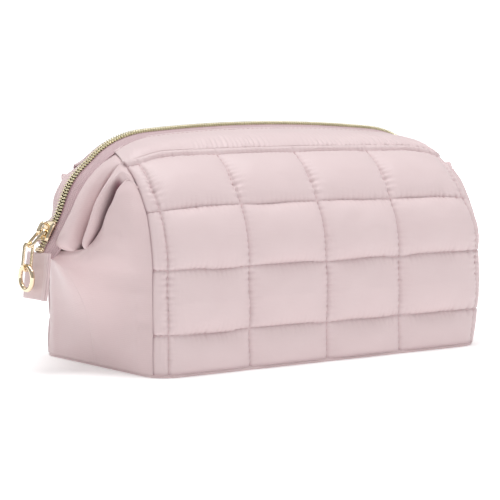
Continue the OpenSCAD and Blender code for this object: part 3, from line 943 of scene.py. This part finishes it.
@dataclass
class ZipSide:
    """One side of the zip: tape, coil and the casing round the frame wire."""

    form: Form
    side: Side
    tape_in: float = 2.7
    tape_out: float = 10.4
    crown_fall: float = 0.46
    shoulder_fall: float = 0.24
    leg_fall: float = 0.85
    back_fall: float = 0.4
    tape_t: float = 0.5
    turn_pitch: float = 1.55
    turn_in: float = 0.12
    turn_out: float = 3.0
    turn_h: float = 1.2
    crown_full: float = 0.35
    tape_end: float = 1.2
    coil_end: float = 4.3
    casing_d: float = -8.2
    casing_f: float = 5.6
    casing_half: tuple[float, float] = (3.4, 2.1)
    casing_end: float = 30.0
    tape_cells: tuple[int, int] = (340, 12)
    casing_cells: tuple[int, int] = (200, 18)

    def fall(self, l: Points) -> Points:
        """Slope of the tape away from the coil: least at the band's ends and steepest on the legs."""
        a = np.abs(l)
        shoulder = (self.shoulder_fall - self.crown_fall) * smooth_step((a - 50.0) / 50.0)
        leg = self.leg_fall + (self.back_fall if self.side is Side.BACK else 0.0)
        return self.crown_fall + shoulder + (leg - self.shoulder_fall) * smooth_step((a - 106.0) / 30.0)

    def tape_shape(self, u: Points, v: Points) -> Points:
        """The woven tape beside the coil."""
        l = (2 * u - 1) * (self.form.zip_l - self.tape_end)
        s = self.form.zip_l - np.abs(l)
        w = v * (self.tape_out - self.tape_in)
        fall = self.fall(l)
        run = w / np.sqrt(1 + fall**2)
        ease = 0.3 * np.sin(math.pi * v)
        wave = 0.18 * np.sin(l / 5.1) * v + 0.12 * np.sin(l / 2.3) * v
        x, z, _ = self.form.arch(l, -run * fall + ease + wave - 0.15)
        narrow = 1 - 0.35 * (1 - smooth_step(s / 9.0)) * v
        f = self.tape_in + run * 1.12 * narrow
        return Form.world(np.stack([x, f, z], -1), self.side)

    def turn_pattern(self) -> bpy.types.Object:
        """One turn of the coil: a bead across the zip with a hooked inner end."""
        deselect()
        bpy.ops.mesh.primitive_uv_sphere_add(segments=8, ring_count=6, radius=1.0)
        turn = take_new("coil_turn")
        p = get_points(turn) * MM
        half = (self.turn_out - self.turn_in) / 2
        reach = np.sign(p[:, 2]) * np.abs(p[:, 2]) ** 0.6
        slim = 0.34 - 0.13 * np.clip(p[:, 2], 0, 1)
        shaped = np.stack([p[:, 0] * self.turn_pitch * slim, half * (1 + reach) + self.turn_in,
                           p[:, 1] * self.turn_h], -1)
        shaped[:, 0] += 0.35 * (p[:, 2] + 1) * 0.5
        set_points(turn, shaped)
        return turn

    def coil_frames(self) -> Points:
        """Places of the coil's turns."""
        reach = self.form.zip_l - self.coil_end
        count = int(2 * reach / self.turn_pitch)
        l = np.linspace(-reach, reach, count) + (0.25 * self.turn_pitch * self.side.value)
        x, z, a = self.form.arch(l)
        zero = np.zeros_like(l)
        along = np.stack([np.cos(a), zero, -np.sin(a)], -1)
        across = np.stack([zero, zero + self.side.value, zero], -1)
        full = 1 + self.crown_full * (1 - smooth_step((np.abs(l) - 85.0) / 30.0))
        out = np.stack([np.sin(a), zero, np.cos(a)], -1) * full[:, None]
        return np.stack([np.stack([x, zero, z], -1), along, across, out], axis=1)

    def casing_shape(self, u: Points, v: Points) -> Points:
        """The sleeve sewn round the frame wire, gathered a little."""
        reach = self.form.zip_l - self.casing_end
        l = (2 * u - 1) * reach
        turn = 2 * math.pi * v
        gather = 1 + 0.05 * np.sin(l * 1.9) + 0.04 * np.sin(l * 0.7 + 2)
        d = self.casing_d + self.casing_half[0] * gather * np.sin(turn)
        x, z, _ = self.form.arch(l, d)
        f = self.casing_f + self.casing_half[1] * gather * np.cos(turn)
        return Form.world(np.stack([x, f, z], -1), self.side)

    def build(self, finishes: Finishes) -> None:
        """Builds and dresses the tape, the coil and the casing, and hangs the casing on the frame's body."""
        name = self.side.name.lower()
        frame_body = f"{name}_frame"
        flip = self.side is Side.FRONT
        # the tape's fold attribute paints shade along its edge beside and under the coil
        tape = cloth(f"{name}_zip_tape", *self.tape_cells, self.tape_shape,
                     (2 * self.form.zip_l, self.tape_out - self.tape_in), self.tape_t, flip,
                     lambda u, v: 0.9 * np.exp(-((v / 0.12) ** 2)))
        dress(tape, finishes.tape)
        coil = copies(f"{name}_zip_coil", self.turn_pattern(), self.coil_frames())
        dress(coil, finishes.coil)
        casing = cloth(f"{name}_wire_casing", *self.casing_cells, self.casing_shape,
                       (2 * (self.form.zip_l - self.casing_end), 18.0), 0.0, flip)
        edit(casing, lambda: bpy.ops.mesh.remove_doubles(threshold=0.00001),
             lambda: bpy.ops.mesh.normals_make_consistent(inside=False))
        dress(casing, finishes.end)
        for piece in (tape, coil):
            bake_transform(piece)
        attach(casing, frame_body)
        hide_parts(f"{name}_tape", "left_end_tape", "right_end_tape")
        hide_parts(f"{name}_coil", "left_end_coil", "right_end_coil")
        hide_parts(f"{name}_casing")
        LOG.info("%s zip: tape, coil and casing", name)


@dataclass
class EndFabric:
    """The plain fabric of one end: half end panels, pleats, inner fold, tab and lining."""

    form: Form
    end: End
    panel_t: float = 0.9
    panel_cells: tuple[int, int] = (72, 130)
    pleat_t: float = 0.7
    pleat_cells: tuple[int, int] = (90, 70)
    pleat_creases: tuple[float, float] = (0.5, 0.79)
    web_z: float = 60.0
    web_low: float = 48.0
    web_half: float = 43.0
    web_in: float = 2.6
    tab_w: float = 21.0
    tab_l: float = 23.5
    tab_x: float = 140.2
    tab_top: float = 60.8
    tab_lean: float = 0.115
    tab_t: float = 1.3
    tab_edge_w: float = 3.0
    lining_half: float = 44.0
    lining_low: float = 5.0
    lining_h: float = 43.0
    lining_in: float = 4.5
    lip_depth: tuple[float, ...] = (0.3, 0.6, 1.0, 1.0, 1.0, 1.0, 0.8)
    lip_steps: tuple[tuple[float, float, float], ...] = ((-3.4, 0.9, -2.4), (-1.6, -0.1, -0.1))
    seam_s: tuple[float, ...] = (100.5, 92.5, 80.5, 69.0, 58.5)
    low_z: tuple[float, ...] = (50.0, 38.0, 26.0, 14.0, 1.6)
    low_f: tuple[float, ...] = (43.0, 36.5, 29.5, 21.0, 10.5, 0.0)
    panel_net: tuple[tuple[tuple[float, float, float], ...], ...] = (
        ((109.6, 35.6, 97.6), (113.4, 32.0, 92.6), (115.6, 28.0, 84.0), (118.2, 23.6, 72.6),
         (124.4, 16.6, 62.8), (133.0, 0.0, 61.4)),
        ((111.0, 38.6, 91.4), (115.4, 34.6, 88.0), (117.6, 29.6, 80.2), (119.8, 24.0, 70.0),
         (126.4, 15.4, 60.8), (133.2, 0.0, 59.2)),
        ((111.8, 42.2, 81.0), (116.0, 36.6, 79.6), (118.4, 30.6, 74.6), (121.2, 23.8, 67.0),
         (126.4, 14.2, 58.6), (131.6, 0.0, 57.0)),
        ((111.8, 43.8, 70.4), (115.8, 37.8, 70.0), (118.8, 31.2, 68.0), (122.0, 23.0, 63.4),
         (125.8, 12.8, 56.6), (129.2, 0.0, 54.8)),
        ((111.0, 43.6, 60.0), (114.4, 37.4, 59.8), (118.0, 30.6, 59.4), (121.6, 22.0, 57.8),
         (124.4, 11.6, 54.0), (126.4, 0.0, 52.4)),
    )
    pleat_net: tuple[tuple[tuple[float, float, float], ...], ...] = (
        ((104.4, 9.4, 107.0), (106.6, 14.0, 107.0), (107.6, 19.0, 106.0), (107.8, 24.0, 104.2),
         (109.4, 29.0, 101.6), (109.6, 34.4, 98.0), (101.0, 42.0, 64.0)),
        ((110.6, 8.2, 102.0), (113.2, 12.4, 101.8), (113.8, 17.0, 100.2), (111.4, 21.2, 98.6),
         (115.0, 26.4, 96.0), (109.8, 30.6, 92.6), (100.5, 38.5, 60.0)),
        ((118.6, 8.0, 92.6), (121.8, 11.8, 92.0), (121.6, 15.8, 90.0), (115.6, 18.6, 88.6),
         (120.4, 23.6, 86.2), (109.6, 26.6, 82.6), (100.0, 34.0, 57.5)),
        ((126.4, 8.0, 80.0), (129.0, 11.8, 79.0), (127.6, 15.8, 77.6), (119.4, 16.6, 76.6),
         (124.4, 22.2, 74.2), (113.2, 23.4, 71.2), (101.0, 30.0, 55.5)),
        ((133.2, 8.0, 69.0), (134.4, 10.8, 67.8), (131.4, 14.8, 67.0), (122.8, 14.8, 66.6),
         (126.6, 20.6, 66.2), (118.6, 20.6, 63.6), (103.0, 26.0, 53.5)),
        ((134.0, 7.6, 64.4), (132.6, 9.2, 63.2), (128.6, 12.8, 62.4), (121.6, 13.0, 62.6),
         (122.4, 17.4, 62.0), (116.6, 17.6, 60.4), (103.0, 22.0, 52.0)),
        ((127.0, 7.6, 61.0), (125.0, 9.0, 60.2), (121.6, 12.0, 60.0), (116.6, 12.6, 60.2),
         (116.6, 15.0, 59.6), (112.0, 15.6, 58.6), (100.0, 19.0, 51.0)),
    )
    seed: int = 31

    def __post_init__(self) -> None:
        """Makes the noise that this end's folds come from."""
        self.noise = SoftNoise(self.seed + self.end.value)
        self.name = self.end.name.lower()

    def place(self, points: Points, side: Side = Side.BACK) -> Points:
        """Turns points of X, forwards and Z into the settled fabric's place."""
        return self.form.skin(points, side, self.end)

    def seam_points(self, s: Points) -> Points:
        """The side seam at distances up the wall."""
        return self.form.wall(np.full_like(s, self.form.half_h), s, -1.5)

    def panel_points(self) -> Points:
        """The end panel's net of control points, from the fold's lip down to the base seam."""
        seam = self.seam_points(np.array(self.seam_s))
        upper = np.concatenate([seam[:, None], np.array(self.panel_net)], axis=1)
        depth = np.array(self.lip_depth)[:, None]
        under = [upper[:1] + depth * np.array(step) for step in self.lip_steps]
        rows = [*under, upper]
        for z in self.low_z:
            edge = self.seam_points(np.array([z - self.form.base_z]))
            f = np.array(self.low_f)
            x = self.form.end(f, np.full_like(f, z)) - (1.0 if z < 3.0 else 0.0)
            rows.append(np.concatenate([edge, np.stack([x, f, np.full_like(f, z)], -1)])[None])
        return np.concatenate(rows)

    def panel_shape(self, side: Side) -> Shape:
        """Half of the end panel: flat below, and drawn out to the zip's end above."""
        net = self.panel_points()

        def shape(u: Points, v: Points) -> Points:
            p = net_surface(net, u, v)
            y, z = side.value * p[:, 1], p[:, 2]
            soft = self.noise(y / 24.0 + z / 55.0, z / 30.0 + 8) * 0.8
            soft += self.noise(y / 8.0 + 40, z / 34.0) * 0.3 * np.exp(-u / 0.2)
            soft += self.noise(y / 30.0 + 60, z / 4.6) * 0.5 * np.exp(-u / 0.3)
            soft += self.noise(u * 7.0 + side.value * 3, z / 13.0 + 30) * 0.55 * smooth_step((z - 50) / 20)
            held = (1 - np.exp(-u / 0.06)) * smooth_step(p[:, 1] / 6.0) * smooth_step(p[:, 2] / 10.0)
            p[:, 0] += soft * held
            return self.place(p, side)

        return shape

    def pleat_points(self) -> Points:
        """The pleats' net of control points, with its top row under the band's end."""
        low, high = (q[0] for q in self.form.band_edges(np.array([self.form.half_h])))
        top = [high + (low - high) * t + np.array([-3.0, 0.2, 0.1]) for t in (0.0, 0.33, 0.66, 1.0)]
        side = self.seam_points(np.array([109.0, self.seam_s[0]]))
        tuck = side[1] + np.array([-3.0, 2.0, -6.0])
        return np.concatenate([np.array([*top, *side, tuck])[None], np.array(self.pleat_net)])

    def pleat_shape(self, side: Side) -> Shape:
        """The two rolled pleats beside the zip's leg."""
        net = self.pleat_points()
        first, second = self.pleat_creases

        def shape(u: Points, v: Points) -> Points:
            p = net_surface(net, u, v)
            soft = self.noise(u * 5.0 + 3 * side.value, v * 3.0 + 2) * 0.45 * smooth_step(v / 0.15)
            crease = -1.7 * np.exp(-(((u - first) / 0.03) ** 2)) * smooth_step(v / 0.3)
            crease -= 2.2 * np.exp(-(((u - second) / 0.04) ** 2)) * smooth_step((v - 0.2) / 0.15)
            p[:, 0] += (soft + crease) * 0.75
            p[:, 1] += (soft + crease) * 0.6
            return self.place(p, side)

        return shape

    @staticmethod
    def lip_shade_at(u: Points, v: Points) -> Points:
        """Painted shade along the panel's turned-in lip, where it tucks under."""
        return (1 - smooth_step((v - 0.07) / 0.09)) * smooth_step((u - 0.12) / 0.1)

    @staticmethod
    def pleat_shade_at(u: Points, v: Points) -> Points:
        """Painted shade in the crease between the pleats, behind the panel's lip and at the pleats'
        tucked-under foot.
        """
        between = 0.6 * np.exp(-(((u - 0.5) / 0.03) ** 2)) * smooth_step((v - 0.15) / 0.3)
        behind = smooth_step((u - 0.73) / 0.07) * smooth_step((v - 0.2) / 0.1)
        behind = behind * (1 - smooth_step((u - 0.87) / 0.06))
        return between + behind + 0.8 * smooth_step((v - 0.9) / 0.08)

    def web_shape(self, u: Points, v: Points) -> Points:
        """The inner fold between the end panels, which on the bag opens out as the zip's end rises; this
        piece keeps one shape.
        """
        f = (2 * u - 1) * self.web_half
        z = self.web_low + v * (self.web_z - self.web_low)
        behind = self.web_in * smooth_step((np.abs(f) - 15.0) / 8.0)
        x = self.form.end(f, z) - behind - 1.5
        return self.place(np.stack([x, f, z], -1))

    def tab_shape(self, u: Points, v: Points) -> Points:
        """The folded tab that hangs at the zip's end."""
        f = (u - 0.5) * self.tab_w
        drop = v * self.tab_l
        curl = 0.35 * np.sin(math.pi * v) * (2 * u - 1) + 0.25 * self.noise(u * 2.5, v * 2.5)
        x = self.tab_x + drop * self.tab_lean + curl
        return self.place(np.stack([x, f, self.tab_top - drop], -1))

    def tab_fold_shape(self, u: Points, v: Points) -> Points:
        """The turned-in edge of the tab."""
        f = -self.tab_w / 2 + 0.1 + u * self.tab_edge_w
        drop = v * self.tab_l
        x = self.tab_x + drop * self.tab_lean + 0.35 * np.sin(math.pi * v) * (2 * u * 0.14 - 1)
        x = x + 0.35 + 0.25 * np.sin(math.pi * u)
        return self.place(np.stack([x, f, self.tab_top - drop], -1))

    def lining_shape(self, u: Points, v: Points) -> Points:
        """The end's lining."""
        f = (2 * u - 1) * self.lining_half
        z = self.lining_low + v * self.lining_h
        x = self.form.end(f, z) - self.lining_in + 0.4 * self.noise(f / 14.0, z / 16.0 + 50)
        return self.place(np.stack([x, f, z], -1))

    def build(self, finishes: Finishes) -> None:
        """Builds and dresses every piece of the end, and hangs its lining and tab."""
        flip = self.end is End.LEFT
        web = cloth(f"{self.name}_inner_fold", 70, 16, self.web_shape,
                    (2 * self.web_half, 13.0), 0.6, flip)
        lining = cloth(f"{self.name}_end_lining", 40, 24, self.lining_shape,
                       (2 * self.lining_half, self.lining_h), 0.5, flip)
        tab = cloth(f"{self.name}_end_tab", 24, 26, self.tab_shape,
                    (self.tab_w, self.tab_l), self.tab_t, not flip)
        fold = cloth("tab_edge", 6, 26, self.tab_fold_shape, (self.tab_edge_w, self.tab_l), 0.35, not flip)
        tab = join(f"{self.name}_end_tab", [tab, fold])
        for piece, material in ((web, finishes.end), (tab, finishes.end),
                                (lining, finishes.lining)):
            dress(piece, material)
        for side in Side:
            self.build_corner(finishes, side)
        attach(lining, "root")
        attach(tab, "zip_ends")
        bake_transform(web)
        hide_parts(f"{self.name}_lining")
        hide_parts(f"{self.name}_fold_web")
        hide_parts(f"{self.name}_tab")
        LOG.info("%s end: half panels, pleats, inner fold, tab and lining", self.name)

    def build_corner(self, finishes: Finishes, side: Side) -> None:
        """Builds half of the end panel and the pleats of one corner."""
        flip = mirrored(side, self.end)
        where = side.name.lower()
        panel = cloth(f"{self.name}_{where}_end_panel", *self.panel_cells, self.panel_shape(side),
                      (56.0, 96.0), self.panel_t, not flip, self.lip_shade_at)
        dress(panel, finishes.end)
        pleats = cloth(f"{self.name}_{where}_pleats", *self.pleat_cells, self.pleat_shape(side),
                       (50.0, 60.0), self.pleat_t, flip, self.pleat_shade_at)
        dress(pleats, finishes.end)
        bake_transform(panel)
        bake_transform(pleats)
        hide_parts(f"{self.name}_{where}_flap", f"{self.name}_gusset")
        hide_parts(f"{self.name}_{where}_pleat")


@dataclass
class Base:
    """The stiffened base: outer skin with its turned-up edge, board and lining."""

    form: Form
    skin_h: float = 2.1
    skin_out: float = -1.3
    edge_r: float = 0.9
    liner_z: float = 4.4
    liner_in: float = 5.0

    @staticmethod
    def select_edges(piece: bpy.types.Object, test: Callable[[Vector, Vector], bool]) -> None:
        """Selects the edges whose two ends pass a test."""
        mesh = piece.data
        mesh.polygons.foreach_set("select", [False] * len(mesh.polygons))
        mesh.vertices.foreach_set("select", [False] * len(mesh.vertices))
        for edge in mesh.edges:
            a, b = (mesh.vertices[i].co for i in edge.vertices)
            edge.select = test(a, b)
            if edge.select:
                for i in edge.vertices:
                    mesh.vertices[i].select = True

    def bevel(self, piece: bpy.types.Object, test: Callable[[Vector, Vector], bool],
              width: float, segments: int) -> None:
        """Rounds the edges that pass a test."""
        deselect()
        piece.select_set(True)
        bpy.context.view_layer.objects.active = piece
        bpy.context.tool_settings.mesh_select_mode = (False, True, False)
        self.select_edges(piece, test)
        bpy.ops.object.mode_set(mode="EDIT")
        bpy.ops.mesh.bevel(offset=width * MM, offset_type="OFFSET", segments=segments, affect="EDGES")
        bpy.ops.object.mode_set(mode="OBJECT")

    def skin(self) -> bpy.types.Object:
        """The outer skin of the base, turned up round its edge."""
        deselect()
        bpy.ops.mesh.primitive_cube_add(size=2.0)
        piece = take_new("base_skin")
        half = np.array([self.form.half_l + self.skin_out, self.form.half_w + self.skin_out, self.skin_h / 2])
        set_points(piece, get_points(piece) * MM * half + np.array([0, 0, self.skin_h / 2]))
        small = 1e-6
        self.bevel(piece, lambda a, b: (a - b).xy.length < small, self.form.corner, 16)
        self.bevel(piece, lambda a, b: abs(a.z - b.z) < small, self.edge_r, 4)
        set_points(piece, self.form.settle(get_points(piece)))
        smooth(piece)
        return piece

    def liner_shape(self, u: Points, v: Points) -> Points:
        """The lining over the board."""
        hx, hy = self.form.half_l - self.liner_in, self.form.half_w - self.liner_in
        r = self.form.corner - self.liner_in
        x, y = (2 * u - 1) * hx, (2 * v - 1) * hy
        dx, dy = np.clip(np.abs(x) - hx + r, 0, None), np.clip(np.abs(y) - hy + r, 0, None)
        both = (dx > 0) & (dy > 0)
        scale = np.where(both, np.maximum(dx, dy) / np.maximum(np.hypot(dx, dy), 1e-9), 1.0)
        x = np.where(both, np.sign(x) * (hx - r + dx * scale), x)
        y = np.where(both, np.sign(y) * (hy - r + dy * scale), y)
        z = self.liner_z + 0.15 * np.sin(x / 9.0) * np.sin(y / 11.0)
        return np.stack([x, y, z], -1)

    def build(self, finishes: Finishes, nodes: dict[str, bpy.types.Object]) -> None:
        """Builds, dresses and hangs the base."""
        skin = self.skin()
        dress(skin, finishes.end)
        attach(skin, "root")
        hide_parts("base_panel")
        liner = cloth("base_liner", 60, 36, self.liner_shape, (203.0, 108.0), 0.4)
        dress(liner, finishes.lining)
        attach(liner, "root")
        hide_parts("base_lining")
        dress(nodes["base_board"], finishes.board)
        LOG.info("base: skin, board and lining")


@dataclass
class Hardware:
    """The slider, its stops and the pull, with the frame wires."""

    form: Form
    slider_s: float = 13.4
    slider_l: float = 11.0
    slider_w: float = 4.5
    plate_d: float = 2.2
    plate_crown: float = 0.8
    stop_s: float = 3.2

    def leg_axes(self, end: End, s: float) -> tuple[Points, Points, Points, Points]:
        """A place on a leg: its point, then up the leg, across and out."""
        l = np.array([end.value * (self.form.zip_l - s)])
        x, z, a = (float(q[0]) for q in self.form.arch(l))
        up = np.array([-end.value * math.cos(a), 0, end.value * math.sin(a)])
        return np.array([x, 0, z]), up, np.array([0, 1.0, 0]), np.array([math.sin(a), 0, math.cos(a)])

    def shell(self, name: str, way: float) -> bpy.types.Object:
        """One half of the slider: a crowned plate whose sides wrap round the coil.

        Args:
            name: the piece's name.
            way: 1 for the outer plate, -1 for the inner.

        Returns:
            The piece.
        """
        at, up, across, out = self.leg_axes(End.LEFT, self.slider_s)

        def shape(u: Points, v: Points) -> Points:
            t = (2 * v - 1) * self.slider_l / 2
            k = 2 * u - 1
            waist = 1 - 0.05 * np.exp(-(((t - 1.0) / 2.4) ** 2)) + 0.05 * smooth_step((t - 2) / 3)
            nose = np.sqrt(np.clip(1 - np.clip((np.abs(t) - 3.7) / 2.6, 0, 1) ** 2, 0, 1))
            y = self.slider_w * waist * (0.25 + 0.75 * nose) * np.clip(np.abs(k) * 1.22, 0, 1) * np.sign(k)
            wrap = smooth_step((np.abs(k) - 0.74) / 0.26)
            crown = self.plate_crown * (1 - np.abs(k) ** 2.5) * (1 - np.abs(t / self.slider_l * 2) ** 4 * 0.7)
            d = self.plate_d + crown - wrap * (1.3 if way > 0 else 0.5)
            return at + t[:, None] * up + y[:, None] * across + (way * d)[:, None] * out

        plate = cloth(name, 26, 30, shape, (8.6, 11.0), 0.0, way > 0)
        m = plate.modifiers.new("thickness", "SOLIDIFY")
        m.thickness = 0.9 * MM
        m.offset = -1.0
        b = plate.modifiers.new("edge", "BEVEL")
        b.width = 0.18 * MM
        b.segments = 2
        b.limit_method = "ANGLE"
        apply_modifiers(plate)
        smooth(plate)
        return plate

    def slider(self) -> bpy.types.Object:
        """The slider's body: two plates and the post between them."""
        at, up, _, out = self.leg_axes(End.LEFT, self.slider_s)
        top = at + up * (self.slider_l / 2 - 1.3)
        post = rod("slider_post", np.array([top - out * 1.9, top, top + out * 1.9]), 0.45)
        return join("slider_shell", [self.shell("outer_plate", 1.0), self.shell("inner_plate", -1.0), post])

    def bail(self) -> bpy.types.Object:
        """The square bridge on the slider that holds the pull."""
        at, up, across, out = self.leg_axes(End.LEFT, self.slider_s)
        base = self.plate_d + self.plate_crown - 0.1
        corners = [(3.1, 0.0), (3.1, 1.6), (2.9, 2.5), (2.3, 3.0), (1.2, 3.15), (-1.2, 3.15),
                   (-2.3, 3.0), (-2.9, 2.5), (-3.1, 1.6), (-3.1, 0.0)]
        legs = []
        for y in (-0.75, 0.0, 0.75):
            path = np.array([at + up * t + out * (base + d) + across * y for t, d in corners])
            legs.append(rod(f"bail_bar_{len(legs)}", path, 0.62, 3))
        return join("slider_bridge", legs)

    def stop(self, end: End) -> bpy.types.Object:
        """The metal clip that ends the coil."""
        at, up, across, out = self.leg_axes(end, self.stop_s)
        bars = []
        for k in (-0.5, 0.5):
            ring = []
            for i in range(24):
                a = 2 * math.pi * i / 24
                y = 3.0 * math.copysign(abs(math.cos(a)) ** 0.45, math.cos(a))
                d = 1.35 * math.copysign(abs(math.sin(a)) ** 0.6, math.sin(a))
                ring.append(at + up * k + across * y + out * d)
            bars.append(rod(f"clip_bar_{len(bars)}", np.array(ring), 0.42, 2, closed=True))
        return join(f"{end.name.lower()}_stop_clip", bars)

    def build(self, finishes: Finishes, nodes: dict[str, bpy.types.Object]) -> None:
        """Builds, dresses and hangs the metal pieces."""
        for piece, node in ((self.slider(), "slider_body"), (self.bail(), "slider_bail")):
            dress(piece, finishes.gold)
            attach(piece, "slider")
            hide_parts(node)
        for end in End:
            clip = self.stop(end)
            dress(clip, finishes.gold)
            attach(clip, "zip_ends")
            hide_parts(f"{end.name.lower()}_stop")
        for node in ("pull_connector", "pull_loop", "pull_ring"):
            dress(nodes[node], finishes.gold)
        for node in ("front_wire", "back_wire"):
            dress(nodes[node], finishes.steel)
        LOG.info("hardware: slider, bridge, stops, pull and wires")


@dataclass
class Studio:
    """Floor, light and camera."""

    azimuth: float = -37.0
    elevation: float = 4.752
    distance: float = 1031.1
    target: tuple[float, float, float] = (-7.03, 0.0, 55.318)
    lens: float = 136.45
    ambient: float = 0.34
    floor_glow: float = 0.28
    floor_reach: tuple[float, float] = (0.25, 1.2)

    def floor(self) -> None:
        """A plain pale floor."""
        deselect()
        bpy.ops.mesh.primitive_plane_add(size=6.0)
        floor = take_new("studio_floor")
        material = bpy.data.materials.new("pale_floor")
        material.use_nodes = True
        shader = material.node_tree.nodes["Principled BSDF"]
        shader.inputs["Base Color"].default_value = (0.92, 0.92, 0.92, 1.0)
        shader.inputs["Roughness"].default_value = 0.9
        shader.inputs["Specular IOR Level"].default_value = 0.0
        shader.inputs["Emission Color"].default_value = (1.0, 1.0, 1.0, 1.0)
        n = Nodes(material.node_tree)
        away = n.add("ShaderNodeVectorMath", operation="LENGTH")
        n.link(n.add("ShaderNodeTexCoord").outputs["Object"], away.inputs[0])
        near, far = self.floor_reach
        share = n.math("DIVIDE", n.math("SUBTRACT", away.outputs["Value"], near), far - near, clamp=True)
        n.link(n.math("ADD", self.floor_glow, share), shader.inputs["Emission Strength"])
        dress(floor, material)

    def light(self, name: str, place: tuple[float, float, float], size: float, power: float) -> None:
        """An area light that points at the bag."""
        data = bpy.data.lights.new(name, "AREA")
        data.shape = "DISK"
        data.size = size
        data.energy = power
        lamp = bpy.data.objects.new(name, data)
        lamp.location = place
        aim = Vector(self.target) * MM - lamp.location
        lamp.rotation_euler = aim.to_track_quat("-Z", "Y").to_euler()
        bpy.context.scene.collection.objects.link(lamp)

    def camera(self) -> None:
        """The camera, low in front of the left end."""
        az, el = math.radians(self.azimuth), math.radians(self.elevation)
        back = Vector((math.sin(az) * math.cos(el), -math.cos(az) * math.cos(el), math.sin(el)))
        data = bpy.data.cameras.new("camera")
        data.sensor_width = 36.0
        data.lens = self.lens
        camera = bpy.data.objects.new("camera", data)
        camera.location = (Vector(self.target) + back * self.distance) * MM
        camera.rotation_euler = (-back).to_track_quat("-Z", "Y").to_euler()
        bpy.context.scene.collection.objects.link(camera)
        bpy.context.scene.camera = camera

    def build(self) -> None:
        """Sets up the studio."""
        self.camera()
        self.floor()
        self.light("key", (0.4, -1.0, 2.0), 0.7, 9.2)
        self.light("fill", (-1.7, -0.7, 0.7), 1.3, 0.7)
        self.light("top", (0.0, 0.1, 1.8), 1.1, 19.5)
        self.light("rim", (-0.6, 1.4, 0.9), 1.0, 2.0)
        world = bpy.data.worlds.new("studio")
        bpy.context.scene.world = world
        world.use_nodes = True
        n = Nodes(world.node_tree)
        background = world.node_tree.nodes["Background"]
        background.inputs["Color"].default_value = (1.0, 1.0, 1.0, 1.0)
        seen = n.add("ShaderNodeLightPath")
        n.link(n.math("ADD", self.ambient, n.math("MULTIPLY", seen.outputs["Is Camera Ray"], 0.8)),
               background.inputs["Strength"])
        bpy.context.scene.view_settings.view_transform = "Standard"


def main() -> None:
    """Builds the bag's looks round the frame."""
    logging.basicConfig(level=logging.INFO)
    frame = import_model()
    Studio().build()
    form = Form()
    finishes = Finishes()
    for side in Side:
        QuiltedWall(form, side).build(finishes)
        ZipSide(form, side).build(finishes)
    for end in End:
        EndFabric(form, end).build(finishes)
    Base(form).build(finishes, frame["nodes"])
    Hardware(form).build(finishes, frame["nodes"])


if __name__ == "__main__":
    main()
